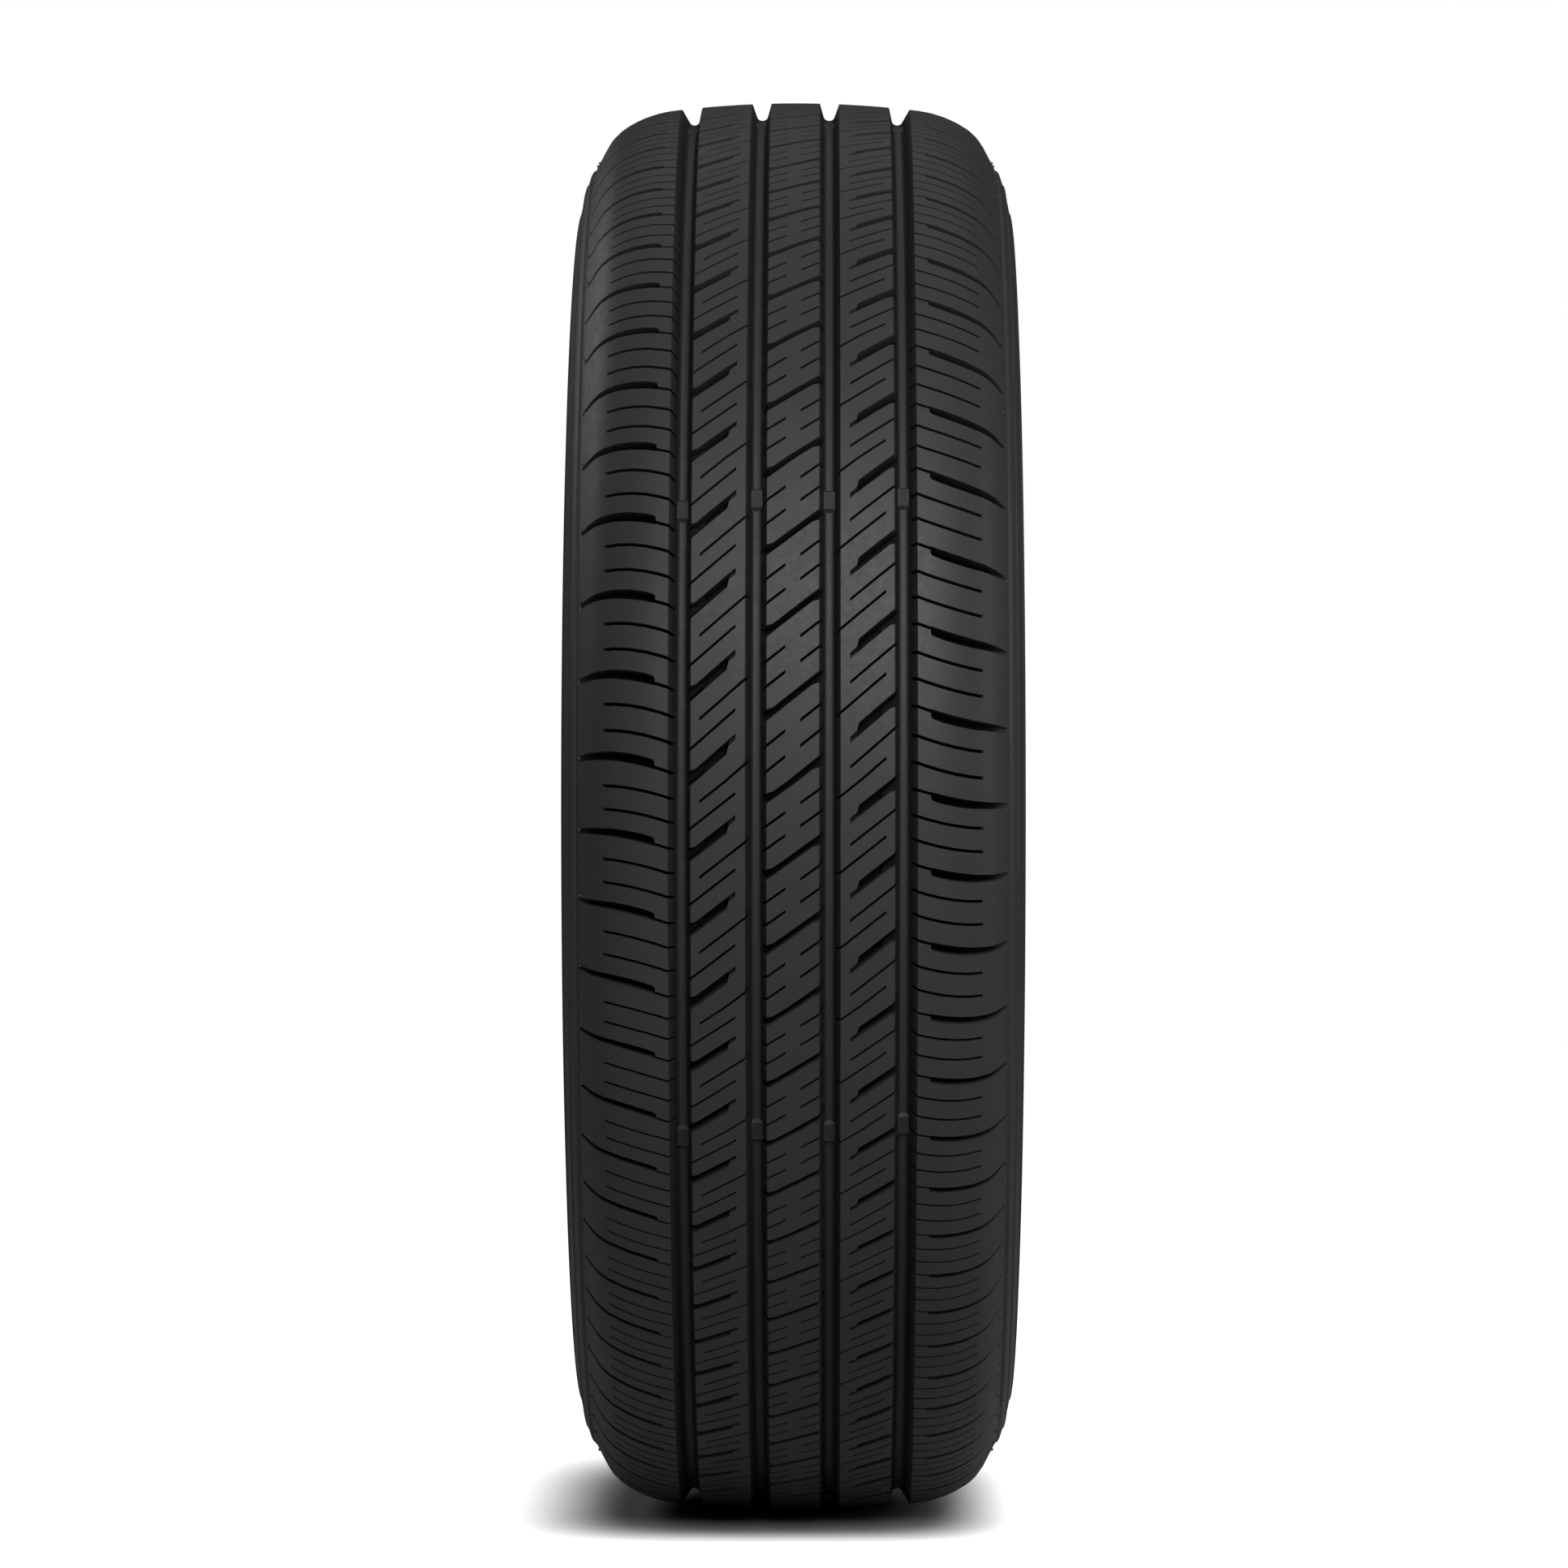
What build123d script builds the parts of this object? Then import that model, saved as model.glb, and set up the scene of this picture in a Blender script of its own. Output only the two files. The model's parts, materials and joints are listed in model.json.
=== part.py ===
"""Car tyre of size 205/65 R16, one vulcanised piece, in millimetres.

The axle is the Y axis and the wheel centre is the origin, with +Z up. The casing is one revolved
section, shaped as the tyre sits on its rim. Four straight grooves run round the tread. The cross
slots repeat round it in pitches of five lengths, and the slots of a pitch are stretched with it.
One half of the tread is the other half turned round.
"""
import os
from math import asin, atan, cos, degrees, radians, sin, tan

from build123d import *

# Overall sizes
outer_diameter = 673.0
section_width = 205.0
bead_seat_diameter = 405.6
rim_width = 152.4

# Tread and shoulder outline, from the crown outwards: sizes and turns of its arcs
crown_radius = 480.0
crown_half_width = 58.0
shoulder_radius = 53.0
shoulder_turn = 26.5
shoulder_flats = 3
edge_radius = 25.0
edge_turn = 29.0
edge_flats = 2
wing_length = 11.0
ridge_rise = 2.2
ridge_drop = 2.4

# Sidewall and bead outline. The widest place is a share of the section height above the bead seat.
widest_share = 0.49
flange_reach = 11.0
flange_lift = 20.5
bead_face_height = 12.0
heel_radius = 6.5
bead_base_width = 19.0
toe_chamfer = 1.6

# Inner face and wall thickness
crown_thickness = 17.0
inner_crown_half_width = 52.0
inner_shoulder_flats = 4
sidewall_thickness = 7.0
inner_sidewall_flats = 3
apex_thickness = 17.0
apex_height = 23.0
bead_inner_height = 10.5
bead_inner_lean = 2.2

# Straight grooves: ribs and grooves from the centre plane outwards
centre_rib_half_width = 11.3
inner_groove_width = 9.45
middle_rib_width = 23.4
outer_groove_width = 10.15
groove_depth = 8.0
groove_wall_angle = 17.0
shoulder_wall_angle = 27.0

# Pitches of the tread pattern, from the first centre slot downwards over the front
pitch_lengths = {"a": 23.2, "b": 26.4, "c": 29.3, "d": 33.0, "e": 37.0}
pitch_sequence = "aabccddeeeedddccbbaaaabbbbcdeeedcbaabcddeeedccbaabbcdeedcbaccdeedcbbaab"
first_slot_angle = 60.7

# Cross slots: sizes across the tread, and depths
slot_depth = 6.5
slot_overrun = 2.6
middle_slot_reach = 16.2
middle_slot_middle = 3.2
middle_tip_reach = 3.2
shoulder_slot_inset = 5.2
shoulder_slot_middle = 11.3
shoulder_slot_depth = 6.5
shoulder_bend_depth = 4.8
shoulder_run_out = 1.6
overcut = 12.0

# Cross slots: widths and phases as shares of the pitch, slopes as shares for each millimetre across
centre_slot_share = 0.105
centre_slot_slope = 0.0217
middle_slot_share = 0.155
middle_tip_share = 0.075
middle_slot_slope = 0.0238
middle_slot_phase = 0.095
shoulder_slot_share = 0.095
shoulder_slot_slope = 0.0056
shoulder_slot_phase = 0.24

# Wear bars on the groove floors, one row in each of the mould's seven segments
wear_bar_angles = [23.8, -25.7, -77.0, -128.5, 180.0, 128.2, 76.0]
wear_bar_height = 1.6
wear_bar_length = 9.0
wear_bar_root = 0.8

os.makedirs("parts", exist_ok=True)

outer_radius = outer_diameter / 2
bead_radius = bead_seat_diameter / 2
half_width = section_width / 2
bead_half_width = rim_width / 2
wall_flare = tan(radians(groove_wall_angle))
shoulder_flare = tan(radians(shoulder_wall_angle))

# Edges of the ribs and middles of the grooves, from the centre plane. A groove has its middle, its width
# and the flares of its two walls, and the wall beside a shoulder leans more than the others.
outer_groove_edge = centre_rib_half_width + inner_groove_width + middle_rib_width
shoulder_rib_edge = outer_groove_edge + outer_groove_width
inner_groove = centre_rib_half_width + inner_groove_width / 2
outer_groove = outer_groove_edge + outer_groove_width / 2
grooves = [
    (-outer_groove, outer_groove_width, shoulder_flare, wall_flare),
    (-inner_groove, inner_groove_width, wall_flare, wall_flare),
    (inner_groove, inner_groove_width, wall_flare, wall_flare),
    (outer_groove, outer_groove_width, wall_flare, shoulder_flare),
]

# Angles at which the pitches start, and the length that each one has on this tyre
pitch_total = sum(pitch_lengths[letter] for letter in pitch_sequence)
pitch_starts = {letter: [] for letter in pitch_lengths}
pitch_start = first_slot_angle
for letter in pitch_sequence:
    pitch_starts[letter].append(pitch_start)
    pitch_start -= 360 * pitch_lengths[letter] / pitch_total


def crown_height(across):
    """Radius of the crown at a distance from the centre plane."""
    return outer_radius - crown_radius + (crown_radius**2 - across**2) ** 0.5


def flats(arc, count):
    """Points that divide an arc into equal flats, without its first point."""
    return [arc @ ((number + 1) / count) for number in range(count)]


def outwards(angle):
    """Direction from the axle at an angle round the tyre, counted from +X to +Z."""
    return Vector(cos(radians(angle)), 0, sin(radians(angle)))


def around(angles):
    """Turns about the axle that carry a shape made at angle 0 to each of the angles."""
    return Locations(*(Location((0, 0, 0), (0, -angle, 0)) for angle in angles))


def tread_plane(angle, across, radius):
    """Plane across the tread: its X is the tyre's Y, and its Y runs up the front."""
    origin = outwards(angle) * radius + Vector(0, across, 0)
    return Plane(origin, x_dir=(0, 1, 0), z_dir=outwards(angle))


def blade_plane(angle, side, slope):
    """Upright plane along a shoulder slot: its X leads over the shoulder, its Y is the radius."""
    along = (Vector(0, 1, 0) * cos(slope) - outwards(angle + 90) * sin(slope)) * side
    origin = Vector(0, side * (shoulder_rib_edge + shoulder_slot_middle), 0)
    return Plane(origin, x_dir=along, z_dir=along.cross(outwards(angle)))


def slanted(start, end, rise, width, lift=0):
    """Corners of a slot between two places across the tread, rising by so much for each millimetre."""
    low, high = start * rise - width / 2 + lift, end * rise - width / 2 + lift
    return [(start, low), (end, high), (end, high + width), (start, low + width)]


# Points of the section: across the tyre, then from the axle
crown_turn = asin(crown_half_width / crown_radius)
crown_end = (crown_half_width, crown_height(crown_half_width))
widest_radius = bead_radius + widest_share * (outer_radius - bead_radius)
widest = (half_width, widest_radius)
flange_edge = (bead_half_width + flange_reach, bead_radius + flange_lift)
heel_top = (bead_half_width, bead_radius + heel_radius)
heel_end = (bead_half_width - heel_radius, bead_radius)
toe = bead_half_width - bead_base_width
apex = (flange_edge[0] - apex_thickness, bead_radius + apex_height)
inner_widest = (half_width - sidewall_thickness, widest_radius)
inner_edge = (inner_crown_half_width, crown_height(inner_crown_half_width) - crown_thickness)
inner_crown = outer_radius - crown_thickness

# Arcs that the section follows in flats
with BuildLine():
    shoulder = JernArc(crown_end, (cos(crown_turn), -sin(crown_turn)), shoulder_radius, -shoulder_turn)
    edge = JernArc(shoulder @ 1, shoulder % 1, edge_radius, -edge_turn)
    wing = PolarLine(edge @ 1, wing_length, direction=edge % 1)
    inner_shoulder = TangentArc(inner_widest, inner_edge, tangent=(0, 1))
    inner_sidewall = TangentArc(inner_widest, apex, tangent=(0, -1))
ridge = (wing @ 1) + Vector(ridge_rise, -ridge_drop)

# Floor of a shoulder slot: it bends below the end of the shoulder arc and runs out through the wing
slot_start = shoulder_rib_edge + shoulder_slot_inset
slot_bend = (shoulder @ 1) + (shoulder % 1).rotate(Axis.Z, -90) * shoulder_bend_depth
slot_end = slot_bend + ((wing @ 1) - (wing % 1) * shoulder_run_out - slot_bend) * 2
slot_side = [
    (slot_start, outer_radius + overcut),
    (slot_start, crown_height(slot_start) - shoulder_slot_depth),
    (slot_bend.X, slot_bend.Y),
    (slot_end.X, slot_end.Y),
    (slot_end.X, outer_radius + overcut),
]


def pitch_slots(length):
    """Slots of one pitch, with its centre slot at angle 0 and the others below it."""
    turn = degrees(length / outer_radius)
    with BuildPart() as slots:
        # Centre rib, from groove to groove
        with BuildSketch(tread_plane(0, 0, outer_radius - slot_depth)):
            reach = centre_rib_half_width + slot_overrun
            rise = centre_slot_slope * length
            Polygon(*slanted(-reach, reach, rise, centre_slot_share * length), align=None)
        # Middle ribs, from the outer grooves to a blind end with a narrow tip
        for side, phase in ((1, middle_slot_phase), (-1, 1 - middle_slot_phase)):
            place = side * (outer_groove_edge - middle_slot_middle)
            floor_radius = crown_height(outer_groove_edge) - slot_depth
            with BuildSketch(tread_plane(-phase * turn, place, floor_radius)):
                mouth = side * (middle_slot_middle + slot_overrun)
                blind = side * (middle_slot_middle - middle_slot_reach)
                tip = blind - side * middle_tip_reach
                rise = middle_slot_slope * length
                width, tip_width = middle_slot_share * length, middle_tip_share * length
                Polygon(*slanted(blind, mouth, rise, width), align=None)
                Polygon(*slanted(tip, blind, rise, tip_width, side * (tip_width - width) / 2), align=None)
        extrude(amount=slot_depth + overcut)
        # Shoulders, from beside the outer grooves to the tread edge
        slope = atan(shoulder_slot_slope * length)
        for side, phase in ((1, shoulder_slot_phase), (-1, 1 - shoulder_slot_phase)):
            middle = shoulder_rib_edge + shoulder_slot_middle
            with BuildSketch(blade_plane(-phase * turn, side, slope)):
                Polygon(*(((across - middle) / cos(slope), up) for across, up in slot_side), align=None)
        extrude(amount=shoulder_slot_share * length / 2, both=True)
    return slots.part


# One row of wear bars, at angle 0
with BuildPart() as wear_bars:
    bar_level = groove_depth - wear_bar_height
    for place, width, left_flare, right_flare in grooves:
        bar_width = width - bar_level * (left_flare + right_flare) + wear_bar_root
        bar_place = place + bar_level * (left_flare - right_flare) / 2
        root_radius = crown_height(place) - groove_depth - wear_bar_root
        with BuildSketch(tread_plane(0, bar_place, root_radius)):
            Rectangle(bar_width, wear_bar_length)
    extrude(amount=wear_bar_root + wear_bar_height)

with BuildPart() as tyre:
    # Casing: half the section, from the crown over the sidewall and bead to the inner face
    with BuildSketch(Plane.YZ):
        with BuildLine():
            Polyline(
                (0, outer_radius),
                (inner_groove, outer_radius),
                (outer_groove, crown_height(outer_groove)),
                crown_end,
                *flats(shoulder, shoulder_flats),
                *flats(edge, edge_flats),
                wing @ 1,
                ridge,
            )
            TangentArc(widest, ridge, tangent=(0, 1))
            TangentArc(widest, flange_edge, tangent=(0, -1))
            Polyline(flange_edge, (bead_half_width, bead_radius + bead_face_height), heel_top)
            TangentArc(heel_top, heel_end, tangent=(0, -1))
            Polyline(
                heel_end,
                (toe + toe_chamfer, bead_radius),
                (toe, bead_radius + toe_chamfer),
                (toe + bead_inner_lean, bead_radius + bead_inner_height),
                apex,
            )
            Polyline(inner_widest, *flats(inner_sidewall, inner_sidewall_flats))
            Polyline(
                inner_widest,
                *flats(inner_shoulder, inner_shoulder_flats),
                (inner_groove, inner_crown),
                (0, inner_crown),
            )
            mirror(about=Plane.YZ)
        make_face()
    revolve(axis=Axis.Y)

    # Straight grooves
    with BuildSketch(Plane.YZ):
        for place, width, left_flare, right_flare in grooves:
            top, bottom = crown_height(place) + overcut, crown_height(place) - groove_depth
            left, right = place - width / 2, place + width / 2
            Polygon(
                (left - overcut * left_flare, top),
                (left + groove_depth * left_flare, bottom),
                (right - groove_depth * right_flare, bottom),
                (right + overcut * right_flare, top),
                align=None,
            )
    revolve(axis=Axis.Y, mode=Mode.SUBTRACT)

    # Cross slots, pitch by pitch round the tread
    for letter, starts in pitch_starts.items():
        length = pitch_lengths[letter] * radians(360) * outer_radius / pitch_total
        cutter = pitch_slots(length)
        with around(starts):
            add(cutter, clean=False, mode=Mode.SUBTRACT)

    # Wear bars
    with around(wear_bar_angles):
        add(wear_bars.part, clean=False)

tyre.part.label = "tyre"
export_step(tyre.part, "parts/tyre.step", write_pcurves=False)
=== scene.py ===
import json
from math import asin, ceil, cos, pi, radians, sin

import bpy
import numpy as np
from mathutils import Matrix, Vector
from mathutils.geometry import delaunay_2d_cdt


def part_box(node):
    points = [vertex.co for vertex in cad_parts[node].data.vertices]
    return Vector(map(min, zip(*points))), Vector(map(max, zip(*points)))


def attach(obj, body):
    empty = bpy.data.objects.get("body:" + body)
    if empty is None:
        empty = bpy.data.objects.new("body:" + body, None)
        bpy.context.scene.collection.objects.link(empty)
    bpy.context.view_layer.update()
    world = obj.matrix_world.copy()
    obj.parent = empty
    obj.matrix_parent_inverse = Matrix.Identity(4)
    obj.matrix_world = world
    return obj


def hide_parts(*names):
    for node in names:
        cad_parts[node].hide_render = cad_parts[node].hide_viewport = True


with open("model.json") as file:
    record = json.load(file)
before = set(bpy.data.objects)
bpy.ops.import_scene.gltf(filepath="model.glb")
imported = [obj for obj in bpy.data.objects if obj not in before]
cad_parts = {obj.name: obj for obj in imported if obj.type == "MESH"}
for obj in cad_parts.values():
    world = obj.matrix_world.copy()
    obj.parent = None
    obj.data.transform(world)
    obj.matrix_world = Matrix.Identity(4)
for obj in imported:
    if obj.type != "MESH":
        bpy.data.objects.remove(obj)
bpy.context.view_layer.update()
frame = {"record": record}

# The tyre is one vulcanised piece of black rubber: two mould plates press its sidewalls and beads, and
# seven segments press its tread. The tread repeats one pitch of slots and sipes in five lengths, and
# one half of it is the other half turned round. One pitch is laid out flat and rolled round the axle.
MM = 0.001
tyre_low, tyre_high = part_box("tyre")
outer_radius = tyre_high.z / MM
half_width = tyre_high.y / MM
bead_radius = frame["record"]["mounts"][0]["dims"]["r_mm"]

# Outline of the tread, from the crown outwards. Each stretch has a length in millimetres and a bend, which
# is one over its radius.
crown_radius, crown_half_width = 480.0, 58.0
crown_turn = asin(crown_half_width / crown_radius)
shoulder_radius, shoulder_turn = 53.0, radians(26.5)
edge_radius, edge_turn = 25.0, radians(29.0)
wing_length = 11.0
tread_arcs = [
    (crown_radius * crown_turn, 1 / crown_radius),
    (shoulder_radius * shoulder_turn, 1 / shoulder_radius),
    (edge_radius * edge_turn, 1 / edge_radius),
    (wing_length, 0.0),
]
tread_edge = sum(length for length, bend in tread_arcs)


def tread_place(along, depth):
    """Across and radius of a point in the tread, so far along its outline and so deep below it."""
    across, radius, turn = 0.0, outer_radius, 0.0
    rest = abs(along)
    for length, bend in tread_arcs:
        step = min(rest, length)
        chord = 2 * sin(bend * step / 2) / bend if bend else step
        across += chord * cos(turn + bend * step / 2)
        radius -= chord * sin(turn + bend * step / 2)
        turn += bend * step
        rest -= step
    across -= depth * sin(turn)
    return (across if along >= 0 else -across), radius - depth * cos(turn)


# Pitches: five lengths in a mixed order, so that the tread doesn't hum. Shares are of one pitch.
pitch_lengths = {"a": 23.2, "b": 26.4, "c": 29.3, "d": 33.0, "e": 37.0}
pitch_sequence = "aabccddeeeedddccbbaaaabbbbcdeeedcbaabcddeeedccbaabbcdeedcbaccdeedcbbaab"
first_slot_angle = radians(60.7)
pitch_count = len(pitch_sequence)
pitch_total = sum(pitch_lengths[letter] for letter in pitch_sequence)
mean_pitch = 2 * pi * outer_radius / pitch_count
rows_per_pitch = 3

# Straight grooves: edges of the ribs, along the outline from the centre plane, and walls from a rib's edge to
# the floor, as run, depth and how far the rubber is darkened with painted shade and made matt. The wall
# beside a shoulder leans more.
rib_edges = [11.3, 20.75, 44.15, 54.3]
rib_wall = [(0.0, 0.0, 0.0), (0.3, 0.35, 0.6), (1.9, 5.6, 1.0), (2.4, 6.9, 0.8), (3.2, 7.7, 0.3)]
shoulder_wall = [(0.0, 0.0, 0.0), (0.3, 0.35, 0.6), (2.6, 5.6, 1.0), (3.2, 6.9, 0.8), (4.0, 7.7, 0.3)]
groove_depth, floor_shade_and_matt = 8.05, 0.1
grooves = [
    (rib_edges[0], rib_edges[1], rib_wall, rib_wall),
    (rib_edges[2], rib_edges[3], rib_wall, shoulder_wall),
]
groove_section = []
for inner, outer, inner_wall, outer_wall in grooves:
    groove_section += [(inner + run, depth, shade_matt) for run, depth, shade_matt in inner_wall]
    middle = (inner + inner_wall[-1][0] + outer - outer_wall[-1][0]) / 2
    groove_section += [(middle, groove_depth, floor_shade_and_matt)]
    groove_section += [(outer - run, depth, shade_matt) for run, depth, shade_matt in reversed(outer_wall)]
groove_section = [(-along, depth, shade_matt) for along, depth, shade_matt in reversed(groove_section)] + groove_section
groove_along, groove_depths, groove_shade_and_matt = zip(*groove_section)

# Slots and sipes of one pitch. A row is a station along the outline, the upper and lower edge as shares
# of the pitch, the runs of the upper and lower wall, and the depth. Mouths reach into the groove's wall.
mouth, shoulder_mouth = 2.4, 3.7
corner_cut = 0.07
slot_depth = 7.4
sipe_depth = 6.0
sipe_share = 0.042
sipe_run = 0.13
end_run = 0.15
longest_span = 7.0
centre_slant = 0.0217
middle_slant, middle_start = 0.0238, -1.1473
sweep_start, sweep_drop, sweep_end, sweep_length = -0.122, 0.162, 88.0, 33.1


def spread(stations):
    """The stations, with more between them where they are far apart."""
    filled = [stations[0]]
    for start, end in zip(stations, stations[1:]):
        count = ceil((end - start) / longest_span)
        filled += [start + (end - start) * number / count for number in range(1, count + 1)]
    return filled


def centre_line(along):
    """Middle of the centre rib's slot."""
    return centre_slant * along


def middle_line(along):
    """Lower edge of the middle rib's slot."""
    return middle_slant * along + middle_start


def shoulder_line(along):
    """Line of the shoulder slot, which leaves the groove and sweeps level towards the tread edge."""
    return sweep_start - sweep_drop * (1 - (max(sweep_end - along, 0.0) / sweep_length) ** 2)


def sipe(start, end, line, lift):
    """Rows of a thin blade cut along a line."""
    rows = []
    for along in spread([start, end]):
        height = line(along) + lift
        top_edge, low_edge = height + sipe_share / 2, height - sipe_share / 2
        rows.append((along, top_edge, low_edge, sipe_run, sipe_run, sipe_depth))
    return rows


def turned(rows):
    """The same cut on the other half of the tread, which is turned round."""
    return [(-along, -low_edge, -top_edge, low_run, top_run, depth)
            for along, top_edge, low_edge, top_run, low_run, depth in reversed(rows)]


# Centre rib: a slot from groove to groove, with its sharp corners cut off at the mouths, and two sipes
centre_mouth = rib_edges[0] + mouth
centre_half = 0.0515
centre_sipe_start, centre_sipe_lifts = 3.2, (-0.358, -0.659)
centre_slot_half = []
for along, cut, top_run, low_run in (
    (1.9, 0.0, 0.6, 0.6), (2.6, 0.0, 0.4, 0.6), (8.6, 0.0, 0.4, 0.6), (centre_mouth, corner_cut, 0.4, 0.5),
):
    height = centre_line(along)
    top_edge, low_edge = height + centre_half, height - centre_half - cut
    centre_slot_half.append((along, top_edge, low_edge, top_run, low_run, slot_depth))
centre_slot = turned(centre_slot_half) + centre_slot_half
centre_sipes = [sipe(centre_sipe_start, centre_mouth, centre_line, lift) for lift in centre_sipe_lifts]

# Middle rib: a slot from the outer groove to a blind tip, with a ledge in its mouth, and two sipes
middle_tip, middle_mouth = 24.8, rib_edges[2] + mouth
middle_top_run, middle_low_run = 1.1, 0.4
middle_slot = []
for along, opening, ledge, depth in (
    (middle_tip, 0.074, 0.0, 2.2), (27.8, 0.078, 0.0, 2.4),
    (28.6, 0.155, 0.0, slot_depth), (38.4, 0.155, 0.0, slot_depth),
    (39.0, 0.155, 0.078, slot_depth), (middle_mouth, 0.155, 0.078, slot_depth),
):
    height = middle_line(along)
    middle_slot.append((along, height + opening, height + ledge, middle_top_run, middle_low_run, depth))
ledge_rise, ledge_depth = 0.1, 4.2
ledge_top_run, ledge_low_run = 0.3, 0.5
middle_ledge = []
for along, cut in ((38.2, 0.0), (42.2, 0.0), (middle_mouth, corner_cut)):
    height = middle_line(along)
    middle_ledge.append((along, height + ledge_rise, height - cut, ledge_top_run, ledge_low_run, ledge_depth))
short_sipe_end, short_sipe_lift, long_sipe_lift = 40.5, 0.457, 0.717
middle_sipes = [
    sipe(rib_edges[1] - mouth, short_sipe_end, middle_line, short_sipe_lift),
    sipe(middle_tip, middle_mouth, middle_line, long_sipe_lift),
]

# Shoulder rib: a slot that runs out at the tread edge, its thin link to the groove, and two sipes
shoulder_start = rib_edges[3] - shoulder_mouth
shoulder_top_run, shoulder_low_run = 0.35, 0.4
shoulder_slot = []
for along, above, below, depth in (
    (59.9, 0.028, 0.068, 7.6), (60.8, 0.028, 0.086, 7.6), (65.0, 0.027, 0.096, 7.6),
    (72.0, 0.025, 0.098, 7.5), (80.0, 0.017, 0.096, 7.0), (90.0, 0.008, 0.090, 4.6),
    (99.0, 0.006, 0.078, 2.0), (104.7, 0.004, 0.062, 0.8),
):
    height = shoulder_line(along)
    shoulder_slot.append((along, height + above, height - below, shoulder_top_run, shoulder_low_run, depth))
link_end, shoulder_sipe_end, shoulder_sipe_lifts = 60.3, 84.8, (0.33, 0.65)
shoulder_link = sipe(shoulder_start, link_end, shoulder_line, 0.0)
shoulder_sipes = [sipe(shoulder_start, shoulder_sipe_end, shoulder_line, lift)
                  for lift in shoulder_sipe_lifts]

right_cuts = centre_sipes + [middle_slot, middle_ledge] + middle_sipes
right_cuts += [shoulder_slot, shoulder_link] + shoulder_sipes

# Lower edge of the flat pitch: it passes between the cuts of every rib, and the upper edge is one pitch on
shoulder_seam_lift, edge_seam_share = 0.168, -1 / 6
right_seam = [(rib_edges[0], -0.255), (rib_edges[1], -0.353), (rib_edges[2], 0.2035)]
for along in (rib_edges[3], 61.0, 69.0, 77.0, 85.0):
    right_seam.append((along, shoulder_line(along) + shoulder_seam_lift))
right_seam.append((tread_edge, edge_seam_share))
seam_along, seam_share = zip(*[(-along, -1 - share) for along, share in reversed(right_seam)] + right_seam)


def seam(along):
    """Share at which the flat pitch starts."""
    return float(np.interp(along, seam_along, seam_share))


# One wall of a cut takes up this much of the cut's width at most, so that a floor is left
widest_run = 0.42


def settled(rows):
    """The cut with closer rows, moved by whole pitches to lie inside the flat pitch."""
    rows = np.array(rows)
    middle = rows[len(rows) // 2]
    lift = ceil(seam(middle[0]) - (middle[1] + middle[2]) / 2)
    stations = spread(list(rows[:, 0]))
    columns = [np.interp(stations, rows[:, 0], rows[:, column]) for column in range(1, 6)]
    top, bottom, top_run, low_run, depth = columns
    room = (top - bottom) * mean_pitch * widest_run
    return np.array([stations, top + lift, bottom + lift,
                     np.minimum(top_run, room), np.minimum(low_run, room), depth])


cuts = [settled(rows) for rows in [centre_slot] + right_cuts + [turned(rows) for rows in right_cuts]]


def tread_depth(along, share):
    """Depth of the grooves, slots and sipes at a point of the flat pitch."""
    depth = float(np.interp(along, groove_along, groove_depths))
    for stations, tops, bottoms, top_runs, low_runs, depths in cuts:
        if stations[0] < along < stations[-1]:
            top, bottom, top_run, low_run, cut_floor = (
                np.interp(along, stations, values) for values in (tops, bottoms, top_runs, low_runs, depths))
            ends = min(along - stations[0], stations[-1] - along) / end_run
            sides = min((top - share) * mean_pitch / top_run, (share - bottom) * mean_pitch / low_run)
            depth = max(depth, min(ends, sides, 1.0) * cut_floor)
    return depth


# Flat pitch: its lines are drawn on a sheet in millimetres, and the sheet is cut into triangles
sheet_points = []
sheet_lines = []


def draw(points, closed=False):
    """Draws a line through points of the sheet."""
    first = len(sheet_points)
    sheet_points.extend(Vector((along, share * mean_pitch)) for along, share in points)
    numbers = list(range(first, len(sheet_points)))
    sheet_lines.extend(zip(numbers, numbers[1:]))
    if closed:
        sheet_lines.append((numbers[-1], numbers[0]))
    return numbers


seam_stations = sorted(set(spread(sorted(set(seam_along) | set(groove_along)))))
for lift in (0, 1):
    draw([(along, seam(along) + lift) for along in seam_stations])
for along in sorted(set(groove_along) | {-tread_edge, tread_edge}):
    draw([(along, seam(along) + row / rows_per_pitch) for row in range(rows_per_pitch + 1)])
for along, top, bottom, top_run, low_run, depth in cuts:
    cut_rim = draw(list(zip(along, top)) + list(zip(along[::-1], bottom[::-1])), closed=True)
    inside = along.copy()
    inside[0] += end_run
    inside[-1] -= end_run
    floor_top = np.interp(inside, along, top) - top_run / mean_pitch
    floor_low = np.interp(inside, along, bottom) + low_run / mean_pitch
    cut_floor = draw(list(zip(inside, floor_top)) + list(zip(inside[::-1], floor_low[::-1])), closed=True)
    sheet_lines.extend(zip(cut_rim, cut_floor))

# More points on the flats between the cuts, where the ribs are broad
fill_step, fill_gap, fill_start = 6.0, 1.6, 0.1
for along in np.arange(-tread_edge + fill_step / 2, tread_edge, fill_step):
    for share in np.arange(fill_start, 1.0, fill_step / mean_pitch):
        height = seam(along) + share
        near = [tread_depth(along + step * fill_gap, height + rise * fill_gap / mean_pitch)
                for step in (-1, 0, 1) for rise in (-1, 0, 1)]
        if max(near) == 0:
            sheet_points.append(Vector((along, height * mean_pitch)))
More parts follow.
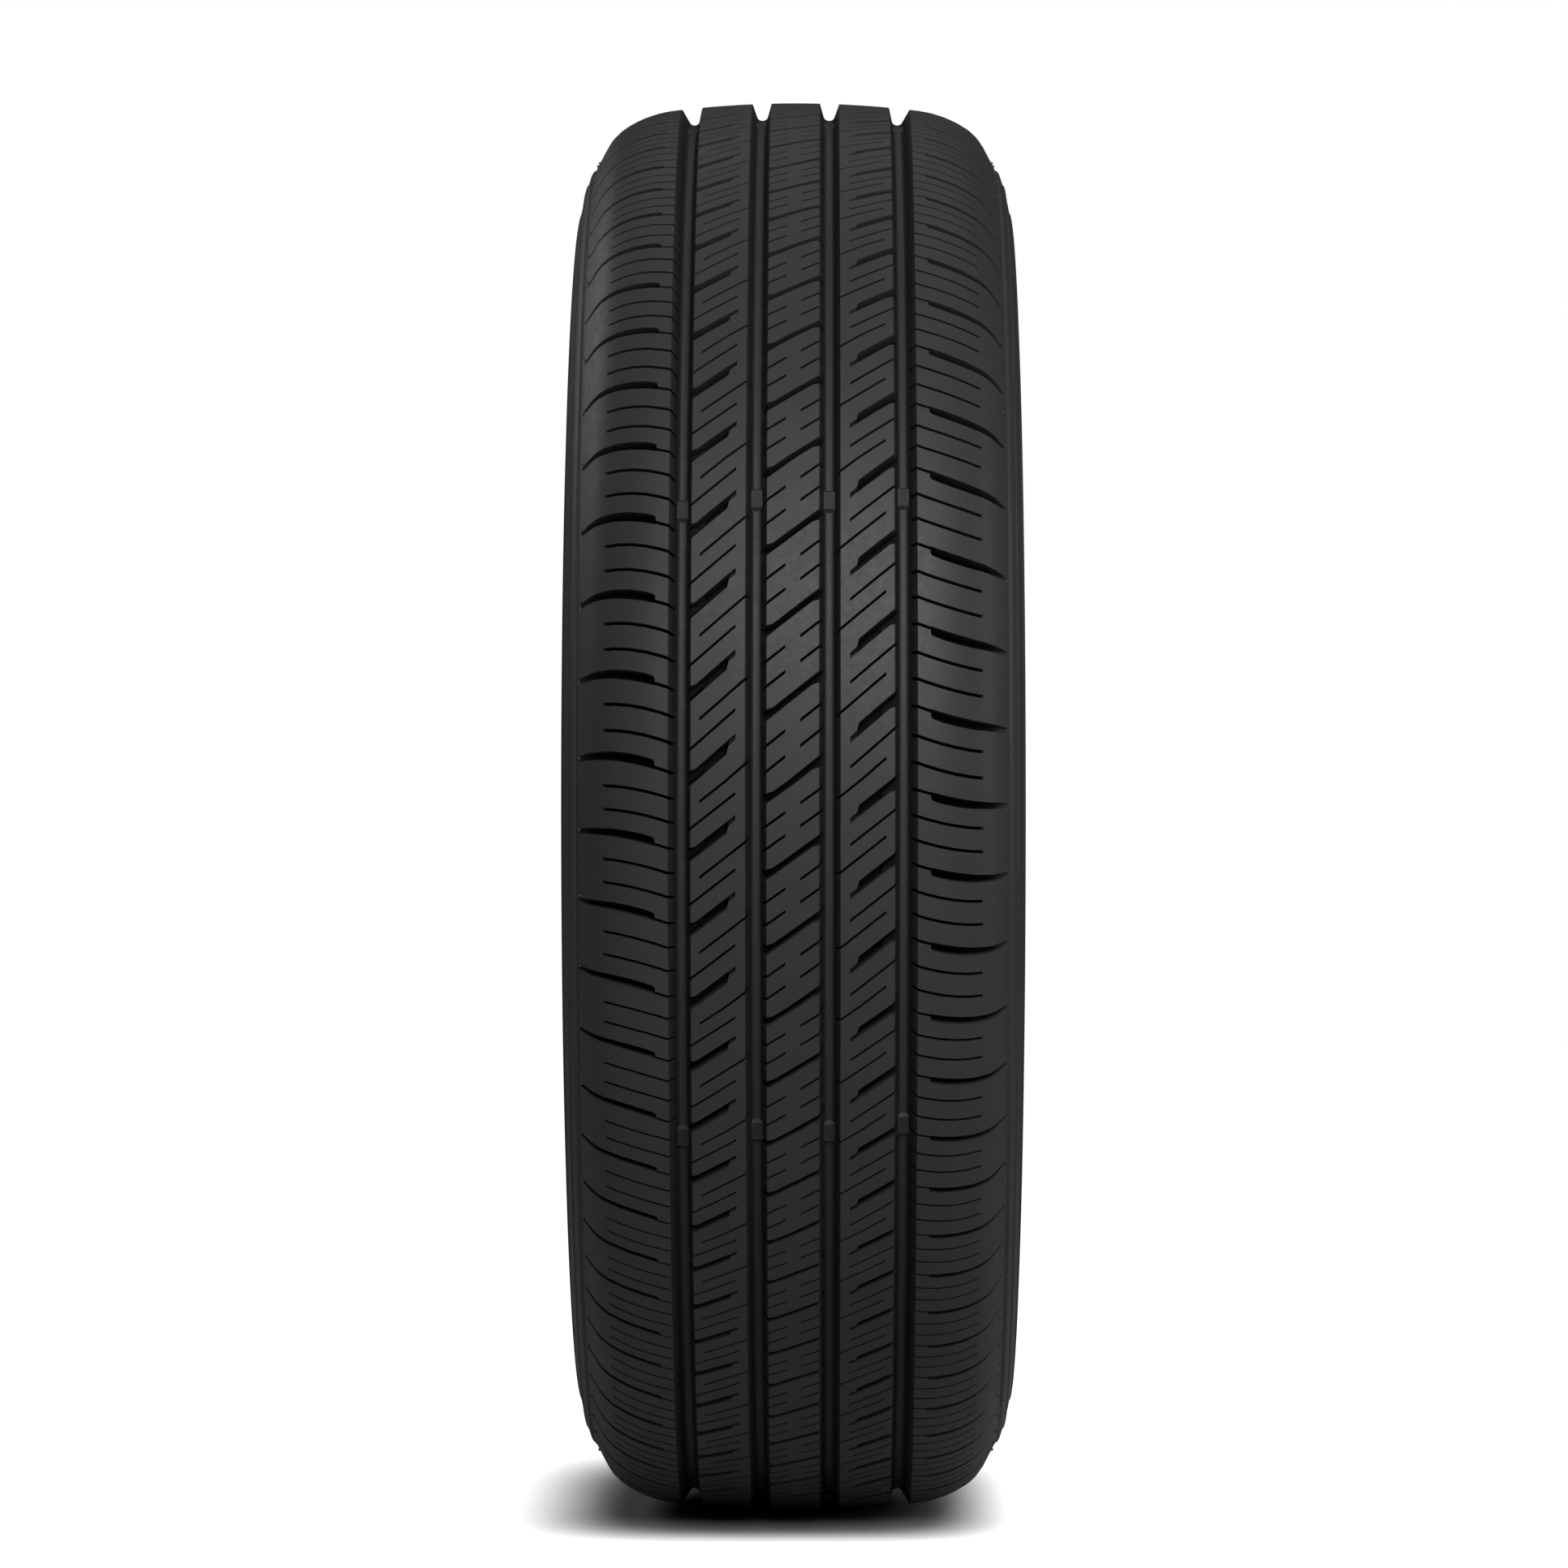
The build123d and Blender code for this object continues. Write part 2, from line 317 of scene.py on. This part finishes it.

# Each point keeps how matt it is and how much painted shade darkens it: the walls of the grooves, the slots
# and the sipes are darkened, where shade falls in them.
sheet_tolerance = 1e-4
sheet = delaunay_2d_cdt(sheet_points, sheet_lines, [], 0, sheet_tolerance)
points, triangles = sheet[0], sheet[2]
full_shade_depth = 3.0
flat_verts, dullness = [], []
for along, rise in points:
    share = rise / mean_pitch
    depth = tread_depth(along, share)
    across, radius = tread_place(along, depth)
    flat_verts.append((across * MM, share, radius * MM))
    cut_depth = depth - float(np.interp(along, groove_along, groove_depths))
    groove_shade_matt = float(np.interp(along, groove_along, groove_shade_and_matt))
    dullness.append(max(min(cut_depth / full_shade_depth, 1.0), groove_shade_matt))
flat_faces = []
for triangle in triangles:
    along = sum(points[corner][0] for corner in triangle) / 3
    share = sum(points[corner][1] for corner in triangle) / 3 / mean_pitch
    if abs(along) < tread_edge and 0 < share - seam(along) < 1:
        flat_faces.append(tuple(triangle))

# Casing: the outline goes on from the tread edge over the sidewall and bead to the inner face. Places are
# across and radius, in millimetres.
rim_half_width = 76.2
widest_share = 0.49
flange_reach, flange_height = 11.0, 20.5
heel_radius, heel_face = 6.5, 11.0
seat_lean, seat_height = 1.4, 13.5
bead_width, toe_lean, toe_chamfer, toe_height = 19.0, 2.2, 1.6, 10.5
apex_thickness, apex_height = 17.0, 23.0
wall_thickness = 7.0
crown_thickness, inner_half_width = 17.0, 52.0
widest = Vector((half_width, bead_radius + widest_share * (outer_radius - bead_radius)))
flange_edge = Vector((rim_half_width + flange_reach, bead_radius + flange_height))
toe = rim_half_width - bead_width
apex = Vector((flange_edge.x - apex_thickness, bead_radius + apex_height))
inner_widest = Vector((half_width - wall_thickness, widest.y))
inner_edge = Vector(tread_place(inner_half_width, crown_thickness))
edge = Vector(tread_place(tread_edge, 0.0))
edge_step = [Vector((0.2, -0.8)), Vector((1.5, -1.3))]
ridge = edge + Vector((2.2, -2.4))


def tangent_arc(start, heading, end, count):
    """Points of the arc that leaves start in a direction and ends at end, without its first point."""
    side = Vector((-heading.y, heading.x))
    reach = end - start
    radius = reach.length_squared / (2 * reach.dot(side))
    centre = start + side * radius
    from_centre = start - centre
    sweep = from_centre.angle_signed(end - centre)
    turns = [-sweep * number / count for number in range(1, count + 1)]
    return [centre + Vector((from_centre.x * cos(t) - from_centre.y * sin(t),
                             from_centre.x * sin(t) + from_centre.y * cos(t))) for t in turns]


up, down = Vector((0, 1)), Vector((0, -1))
wall_steps, wall_rows = 40, 19
upper_wall = tangent_arc(widest, up, ridge, wall_steps)[::-1]
sidewall = upper_wall + [widest] + tangent_arc(widest, down, flange_edge, wall_steps)
wall_radii = np.array([point.y for point in sidewall])
wall_across = np.array([point.x for point in sidewall])

# Rings moulded on the sidewall: radius, width and height. The broad one guards the rim.
rings = [(297.2, 1.3, 0.5), (284.0, 1.4, 0.5), (246.0, 1.4, 0.5), (229.5, 7.0, 1.8)]
ring_slope, ring_margin = 0.45, 0.8
ring_rows = []
for radius, width, height in sorted(rings):
    slope = width * ring_slope
    ring_rows += [(radius - width / 2, 0.0), (radius - width / 2 + slope / 2, height),
                  (radius + width / 2 - slope / 2, height), (radius + width / 2, 0.0)]
ring_radii, ring_heights = zip(*ring_rows)
plain_radii = [station for station in np.linspace(wall_radii[0], wall_radii[-1], wall_rows)
               if all(abs(station - radius) > width / 2 + ring_margin for radius, width, height in rings)]
casing = [edge] + [edge + step for step in edge_step]
for radius in sorted(set(plain_radii) | set(ring_radii), reverse=True):
    across = np.interp(-radius, -wall_radii, wall_across)
    casing.append(Vector((across + np.interp(radius, ring_radii, ring_heights), radius)))

# Bead and inner face, down to the toe and up again to the middle of the crown
heel_steps, lower_steps, upper_steps = 4, 6, 7
heel_top = Vector((rim_half_width, bead_radius + heel_radius))
heel_end = Vector((rim_half_width - heel_radius, bead_radius))
casing += [Vector((rim_half_width + seat_lean, bead_radius + seat_height))]
casing += [Vector((rim_half_width, bead_radius + heel_face)), heel_top]
casing += tangent_arc(heel_top, down, heel_end, heel_steps)
casing += [Vector((toe + toe_chamfer, bead_radius)), Vector((toe, bead_radius + toe_chamfer))]
casing += [Vector((toe + toe_lean, bead_radius + toe_height)), apex]
casing += tangent_arc(inner_widest, down, apex, lower_steps)[-2::-1] + [inner_widest]
casing += tangent_arc(inner_widest, up, inner_edge, upper_steps)
casing += [Vector((inner_half_width / 2, tread_place(inner_half_width / 2, crown_thickness)[1]))]
casing += [Vector((0, outer_radius - crown_thickness))]

row_verts = rows_per_pitch + 1
for side in (1, -1):
    first_vert = len(flat_verts)
    for point in casing:
        for row in range(row_verts):
            share = seam(side * tread_edge) + row / rows_per_pitch
            flat_verts.append((side * point.x * MM, share, point.y * MM))
            dullness.append(0.0)
    for column in range(len(casing) - 1):
        for row in range(rows_per_pitch):
            corner = first_vert + column * row_verts + row
            quad = (corner, corner + row_verts, corner + row_verts + 1, corner + 1)
            flat_faces.append(quad if side == 1 else quad[::-1])


def new_piece(name, verts, faces):
    """A new object in the scene, with a mesh of these points and faces."""
    mesh = bpy.data.meshes.new(name)
    mesh.from_pydata(verts, [], faces)
    piece = bpy.data.objects.new(name, mesh)
    bpy.context.scene.collection.objects.link(piece)
    return piece


def keep_values(piece, name, values):
    """Gives every point of a piece a value under a name."""
    piece.data.attributes.new(name, "FLOAT", "POINT").data.foreach_set("value", values)


tyre = new_piece("tyre_rubber", flat_verts, flat_faces)
keep_values(tyre, "dullness", dullness)

# Angles at which the pitches start, upwards over the front, with two more at each end
spare_pitches = 2
pitch_angles = {letter: 2 * pi * length / pitch_total for letter, length in pitch_lengths.items()}
upwards = pitch_sequence[::-1]
mark_angles = [first_slot_angle - 2 * pi]
for letter in reversed(upwards[-spare_pitches:]):
    mark_angles.insert(0, mark_angles[0] - pitch_angles[letter])
for letter in upwards + upwards[:spare_pitches]:
    mark_angles.append(mark_angles[-1] + pitch_angles[letter])
pitch_marks = new_piece("pitch_marks", [(angle, 0, 0) for angle in mark_angles], [])


def add(tree, kind, inputs={}, **settings):
    """Adds a node, sets its properties, and fills its inputs with values or links."""
    node = tree.nodes.new(kind)
    for name, value in settings.items():
        setattr(node, name, value)
    for socket, value in inputs.items():
        if isinstance(value, bpy.types.NodeSocket):
            tree.links.new(value, node.inputs[socket])
        else:
            node.inputs[socket].default_value = value
    return node


def linear(code):
    """Linear colour of an sRGB hex value."""
    parts = [int(code[start:start + 2], 16) / 255 for start in (1, 3, 5)]
    return [part / 12.92 if part <= 0.04045 else ((part + 0.055) / 1.055) ** 2.4 for part in parts] + [1]


# Vulcanised rubber, moulded: carbon black makes it a deep neutral grey. Its outer faces have the fine grain
# of the mould, and their tone and gloss vary in patches. Slots, sipes and groove walls are darkened towards
# black with painted shade, and made more matt.
grain_size, grain_depth = 0.7 * MM, 0.08 * MM
mottle_size = 3 * MM
cloud_size = 45 * MM
rubber_colours = linear("#2d2c2b"), linear("#323130")
painted_shade_colour = linear("#060606")
face_roughness = 0.44, 0.56
matt_roughness = 0.44
rubber = bpy.data.materials.new("vulcanised_rubber")
rubber.use_nodes = True
tree = rubber.node_tree
shader = tree.nodes["Principled BSDF"]
place = add(tree, "ShaderNodeTexCoord").outputs["Object"]
grain = add(tree, "ShaderNodeTexNoise", {"Vector": place, "Scale": 1 / grain_size, "Detail": 3.0})
cloud = add(tree, "ShaderNodeTexNoise", {"Vector": place, "Scale": 1 / cloud_size, "Detail": 4.0})
shade_matt = add(tree, "ShaderNodeAttribute", attribute_name="dullness").outputs["Fac"]
face = add(tree, "ShaderNodeMix", {"Factor": cloud.outputs["Fac"], 6: rubber_colours[0], 7: rubber_colours[1]},
           data_type="RGBA")
# Painted shade: the colour goes towards near black by each point's shade and matt value.
shade = add(tree, "ShaderNodeMix", {"Factor": shade_matt, 6: face.outputs[2], 7: painted_shade_colour}, data_type="RGBA")
mottle = add(tree, "ShaderNodeTexNoise", {"Vector": place, "Scale": 1 / mottle_size, "Detail": 5.0})
gloss = add(tree, "ShaderNodeMapRange", {"Value": mottle.outputs["Fac"], "From Min": 0.25, "From Max": 0.75,
                                         "To Min": face_roughness[0], "To Max": face_roughness[1]})
dulled = add(tree, "ShaderNodeMath", {0: shade_matt, 1: matt_roughness, 2: gloss.outputs["Result"]},
             operation="MULTIPLY_ADD")
bump = add(tree, "ShaderNodeBump",
           {"Height": grain.outputs["Fac"], "Strength": 0.25, "Distance": grain_depth})
tree.links.new(shade.outputs[2], shader.inputs["Base Color"])
tree.links.new(dulled.outputs[0], shader.inputs["Roughness"])
tree.links.new(bump.outputs["Normal"], shader.inputs["Normal"])
shader.inputs["IOR"].default_value = 1.34


def new_group(name, piece_label, sockets, result_label):
    """A node group for a modifier, with a piece and named values as its inputs and a piece as its result."""
    group = bpy.data.node_groups.new(name, "GeometryNodeTree")
    group.is_modifier = True
    group.interface.new_socket(piece_label, in_out="INPUT", socket_type="NodeSocketGeometry")
    inputs = {label: group.interface.new_socket(label, in_out="INPUT", socket_type=kind)
              for label, kind in sockets.items()}
    group.interface.new_socket(result_label, in_out="OUTPUT", socket_type="NodeSocketGeometry")
    return group, inputs


# Rolling: the flat pitch is laid end to end, and each point turns to the angle of its place in the pitches
weld_distance = 0.02 * MM
roll, roll_inputs = new_group("roll_pitches", "Flat pitch", {
    "Pitches": "NodeSocketInt", "Pitch marks": "NodeSocketObject",
    "Spare marks": "NodeSocketInt", "Rubber": "NodeSocketMaterial",
}, "Tyre")
given = add(roll, "NodeGroupInput").outputs
row_of_points = add(roll, "GeometryNodeMeshLine", {"Count": given["Pitches"], "Offset": (0, 1, 0)})
laid = add(roll, "GeometryNodeInstanceOnPoints",
           {"Points": row_of_points.outputs["Mesh"], "Instance": given["Flat pitch"]})
real = add(roll, "GeometryNodeRealizeInstances", {"Geometry": laid.outputs["Instances"]})
flat_point = add(roll, "GeometryNodeInputPosition").outputs[0]
flat_place = add(roll, "ShaderNodeSeparateXYZ", {0: flat_point}).outputs
whole = add(roll, "ShaderNodeMath", {0: flat_place["Y"]}, operation="FLOOR").outputs[0]
part_way = add(roll, "ShaderNodeMath", {0: flat_place["Y"], 1: whole}, operation="SUBTRACT").outputs[0]
this_mark = add(roll, "ShaderNodeMath", {0: whole, 1: given["Spare marks"]}, operation="ADD").outputs[0]
next_mark = add(roll, "ShaderNodeMath", {0: this_mark, 1: 1.0}, operation="ADD").outputs[0]
marks = add(roll, "GeometryNodeObjectInfo", {"Object": given["Pitch marks"]}).outputs["Geometry"]
mark_place = add(roll, "GeometryNodeInputPosition").outputs[0]
angles = []
for number in (this_mark, next_mark):
    found = add(roll, "GeometryNodeSampleIndex", {"Geometry": marks, "Value": mark_place, "Index": number},
                data_type="FLOAT_VECTOR", domain="POINT", clamp=True)
    angles.append(add(roll, "ShaderNodeSeparateXYZ", {0: found.outputs["Value"]}).outputs["X"])
angle = add(roll, "ShaderNodeMix", {0: part_way, 2: angles[0], 3: angles[1]},
            data_type="FLOAT", clamp_factor=False).outputs[0]
turn_x = add(roll, "ShaderNodeMath", {0: angle}, operation="COSINE").outputs[0]
turn_z = add(roll, "ShaderNodeMath", {0: angle}, operation="SINE").outputs[0]
out_x = add(roll, "ShaderNodeMath", {0: flat_place["Z"], 1: turn_x}, operation="MULTIPLY").outputs[0]
out_z = add(roll, "ShaderNodeMath", {0: flat_place["Z"], 1: turn_z}, operation="MULTIPLY").outputs[0]
rolled_place = add(roll, "ShaderNodeCombineXYZ", {"X": out_x, "Y": flat_place["X"], "Z": out_z}).outputs[0]
rolled = add(roll, "GeometryNodeSetPosition", {"Geometry": real.outputs[0], "Position": rolled_place})
closed = add(roll, "GeometryNodeMergeByDistance", {"Geometry": rolled.outputs[0], "Distance": weld_distance})
coated = add(roll, "GeometryNodeSetMaterial", {"Geometry": closed.outputs[0], "Material": given["Rubber"]})
add(roll, "NodeGroupOutput", {0: coated.outputs[0]})


def made_plain(piece, group, values):
    """Runs a node group on a piece and keeps the result as its plain mesh."""
    modifier = piece.modifiers.new(group.name, "NODES")
    modifier.node_group = group
    for socket, value in values:
        modifier[socket.identifier] = value
    ready = piece.evaluated_get(bpy.context.evaluated_depsgraph_get())
    mesh = bpy.data.meshes.new_from_object(ready)
    piece.modifiers.clear()
    bare_mesh = piece.data
    piece.data = mesh
    bpy.data.meshes.remove(bare_mesh)
    mesh.name = piece.name


made_plain(tyre, roll, [
    (roll_inputs["Pitches"], pitch_count),
    (roll_inputs["Pitch marks"], pitch_marks),
    (roll_inputs["Spare marks"], spare_pitches),
    (roll_inputs["Rubber"], rubber),
])
bpy.data.objects.remove(pitch_marks)
crease_angle = radians(32)
tyre.data.shade_smooth()
tyre.data.set_sharp_from_angle(angle=crease_angle)
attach(tyre, "root")
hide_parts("tyre")

# Wear bars are low blocks of the same rubber, moulded across the groove floors in seven rows, one for
# each segment of the mould. Their ends slope down, and their sides run into the walls of the groove.
wear_bar_angles = [radians(degrees) for degrees in (23.8, -25.7, -77.0, -128.5, 180.0, 128.2, 76.0)]
bar_height, bar_length, bar_slope, bar_root = 1.6, 8.2, 1.4, 0.6
bar_sink, bar_dullness = 0.4, 0.35
bar_lifts = iter((0.6, 1.5, 3.2, -2.9))
bar_levels = [
    (groove_depth + bar_root, bar_length / 2 + bar_slope),
    (groove_depth, bar_length / 2 + bar_slope),
    (groove_depth - bar_height, bar_length / 2),
]
bar_quads = [(3, 2, 1, 0), (8, 9, 10, 11)]
bar_quads += [(level + corner, level + (corner + 1) % 4, level + 4 + (corner + 1) % 4, level + 4 + corner)
              for level in (0, 4) for corner in range(4)]
bar_verts, bar_faces = [], []
for inner, outer, *walls in grooves:
    for side in (1, -1):
        first_vert, lift = len(bar_verts), next(bar_lifts)
        for level, half_length in bar_levels:
            runs = []
            for wall in walls:
                wall_runs = [run for run, depth, shade_matt in wall]
                wall_depths = [depth for run, depth, shade_matt in wall]
                runs.append(float(np.interp(level, wall_depths, wall_runs)) - bar_sink)
            start, end = inner + runs[0], outer - runs[1]
            for along, rise in ((start, -1), (end, -1), (end, 1), (start, 1)):
                across, radius = tread_place(along, level)
                bar_verts.append((radius * MM, side * across * MM, (side * rise * half_length + lift) * MM))
        bar_faces += [tuple(first_vert + corner for corner in quad) for quad in bar_quads]
wear_bars = new_piece("wear_bars", bar_verts, bar_faces)
# The bars are darkened a little with painted shade and made a little more matt.
keep_values(wear_bars, "dullness", [bar_dullness] * len(bar_verts))

# A ring of copies: the piece is made at angle 0 and turned about the axle to each of its marks
ring, ring_inputs = new_group("ring_of_copies", "Piece", {
    "Angle marks": "NodeSocketObject", "Rubber": "NodeSocketMaterial",
}, "Ring")
given = add(ring, "NodeGroupInput").outputs
marks = add(ring, "GeometryNodeObjectInfo", {"Object": given["Angle marks"]}).outputs["Geometry"]
turn = add(ring, "GeometryNodeInputNamedAttribute", {"Name": "turn"}, data_type="FLOAT").outputs["Attribute"]
back = add(ring, "ShaderNodeMath", {0: turn, 1: -1.0}, operation="MULTIPLY").outputs[0]
about_axle = add(ring, "ShaderNodeCombineXYZ", {"Y": back}).outputs[0]
placed = add(ring, "GeometryNodeInstanceOnPoints",
             {"Points": marks, "Instance": given["Piece"], "Rotation": about_axle})
real = add(ring, "GeometryNodeRealizeInstances", {"Geometry": placed.outputs["Instances"]})
coated = add(ring, "GeometryNodeSetMaterial", {"Geometry": real.outputs[0], "Material": given["Rubber"]})
add(ring, "NodeGroupOutput", {0: coated.outputs[0]})


def ringed(piece, angles):
    """Repeats a piece made at angle 0 at each of the angles round the axle."""
    angle_marks = new_piece("angle_marks", [(0, 0, 0)] * len(angles), [])
    keep_values(angle_marks, "turn", angles)
    made_plain(piece, ring, [(ring_inputs["Angle marks"], angle_marks), (ring_inputs["Rubber"], rubber)])
    bpy.data.objects.remove(angle_marks)


ringed(wear_bars, wear_bar_angles)
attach(wear_bars, "root")
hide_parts("tyre")

# Vent nubs are the stubs of rubber left where air left the mould through fine holes at the tread edge.
# They are trimmed short, so only a round pip little more than a millimetre across stands up, one to each
# pitch and side.
nub_along, nub_sides = 103.6, 8
nub_profile = [(0.70, -0.4), (0.62, 0.4), (0.42, 0.75)]
nub_share, nub_scatter, nub_seed = 0.3, 0.12, 3
nub_verts, nub_faces = [], []
for side in (1, -1):
    first_vert = len(nub_verts)
    for radius, height in nub_profile:
        for number in range(nub_sides):
            spin = 2 * pi * number / nub_sides
            across, out = tread_place(nub_along + radius * cos(spin), -height)
            nub_verts.append((out * MM, side * across * MM, side * radius * sin(spin) * MM))
    last_row = first_vert + (len(nub_profile) - 1) * nub_sides
    nub_faces.append([first_vert + number for number in reversed(range(nub_sides))])
    nub_faces.append([last_row + number for number in range(nub_sides)])
    for row_start in range(first_vert, last_row, nub_sides):
        for number in range(nub_sides):
            corner, beside = row_start + number, row_start + (number + 1) % nub_sides
            nub_faces.append((corner, beside, beside + nub_sides, corner + nub_sides))
vent_nubs = new_piece("vent_nubs", nub_verts, nub_faces)
chance = np.random.default_rng(nub_seed)
nub_angles = []
for start, end in zip(mark_angles[spare_pitches:], mark_angles[spare_pitches + 1:-spare_pitches]):
    nub_angles.append(start + (nub_share + nub_scatter * chance.random()) * (end - start))
ringed(vent_nubs, nub_angles)
vent_nubs.data.shade_smooth()
vent_nubs.data.set_sharp_from_angle(angle=crease_angle)
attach(vent_nubs, "root")
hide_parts("tyre")

# The floor is a wide sheet of matt board, pale all over, on which the tyre stands. To the camera it glows
# white away from the tyre; near the foot the glow is held back, so the floor there shows grey, with its real
# shadow in it.
floor_reach = 6.0
floor_corners = [(x * floor_reach, y * floor_reach, tyre_low.z)
                 for x, y in ((-1, -1), (1, -1), (1, 1), (-1, 1))]
floor = new_piece("studio_floor", floor_corners, [(0, 1, 2, 3)])

# The glow is held back in a rounded oblong round the foot, which reaches one over these scales in metres to
# the front and right, and to the back and left. Beyond it the glow grows with the square of the distance.
# This oblong and its graded edge are a painted shadow: they darken the floor round the foot, also where no
# shadow falls.
front_scale, back_scale = (10.0, 16.0, 0.0), (-6.0, -12.5, 0.0)
glow_start, glow_full = 1.0, 3.2
board = bpy.data.materials.new("matt_white_board")
board.use_nodes = True
tree = board.node_tree
shader = tree.nodes["Principled BSDF"]
shader.inputs["Base Color"].default_value = linear("#b4b4b4")
shader.inputs["Roughness"].default_value = 0.9
shader.inputs["Specular IOR Level"].default_value = 0.0
shader.inputs["Emission Color"].default_value = (1, 1, 1, 1)
seen = add(tree, "ShaderNodeLightPath").outputs
floor_place = add(tree, "ShaderNodeTexCoord").outputs["Object"]
before = add(tree, "ShaderNodeVectorMath", {0: floor_place, 1: front_scale}, operation="MULTIPLY").outputs[0]
behind = add(tree, "ShaderNodeVectorMath", {0: floor_place, 1: back_scale}, operation="MULTIPLY").outputs[0]
reach = add(tree, "ShaderNodeVectorMath", {0: before, 1: behind}, operation="MAXIMUM").outputs[0]
square = add(tree, "ShaderNodeVectorMath", {0: reach, 1: reach}, operation="MULTIPLY").outputs[0]
away = add(tree, "ShaderNodeVectorMath", {0: square}, operation="LENGTH").outputs["Value"]
painted_shadow_fade = add(tree, "ShaderNodeMapRange",
           {"Value": away, "From Min": glow_start, "From Max": glow_full, "To Max": 1.0},
           interpolation_type="SMOOTHSTEP").outputs[0]
glow = add(tree, "ShaderNodeMath", {0: painted_shadow_fade, 1: seen["Is Camera Ray"]}, operation="MULTIPLY").outputs[0]
tree.links.new(glow, shader.inputs["Emission Strength"])
floor.data.materials.append(board)

# Studio light: a large soft lamp in front and high up, a broad one overhead, and one on each side for the
# edges, low on the right and behind the tyre on the left. The sky is white to the camera and dim to the
# rubber, a little less dim in its reflections.
sky_light, sky_shine = 0.015, 0.04
world = bpy.data.worlds.new("studio_white")
bpy.context.scene.world = world
world.use_nodes = True
sky = world.node_tree
seen = add(sky, "ShaderNodeLightPath").outputs
shown = add(sky, "ShaderNodeMapRange",
            {"Value": seen["Is Camera Ray"], "To Min": sky_light, "To Max": 1.0}).outputs[0]
strength = add(sky, "ShaderNodeMath", {0: seen["Is Glossy Ray"], 1: sky_shine, 2: shown},
               operation="MULTIPLY_ADD").outputs[0]
sky.links.new(strength, sky.nodes["Background"].inputs["Strength"])
sky.nodes["Background"].inputs["Color"].default_value = (1, 1, 1, 1)
for name, location, size, power in (
    ("key", (2.5, 0.45, 1.5), 1.9, 78.0), ("top", (-0.7, 0.0, 2.5), 3.0, 9.0),
    ("left", (-1.6, -2.2, 1.4), 1.4, 13.0), ("right", (0.2, 2.6, 0.7), 1.8, 13.0),
):
    lamp = bpy.data.lights.new(name, "AREA")
    lamp.shape = "DISK"
    lamp.size = size
    lamp.energy = power
    holder = bpy.data.objects.new(name, lamp)
    holder.location = location
    holder.rotation_euler = (-Vector(location)).to_track_quat("-Z", "Y").to_euler()
    bpy.context.scene.collection.objects.link(holder)

# Camera: level with the axle, square on the tread, with a long lens.
camera = bpy.data.cameras.new("camera")
camera.lens = 155.0
camera.sensor_width = 36.0
camera.shift_x = -0.027
camera.shift_y = 0.0145
view = bpy.data.objects.new("camera", camera)
view.location = (3.247, 0.0145, 0.0)
view.rotation_euler = (pi / 2, 0, pi / 2)
bpy.context.scene.collection.objects.link(view)
bpy.context.scene.camera = view
bpy.context.scene.view_settings.view_transform = "Standard"
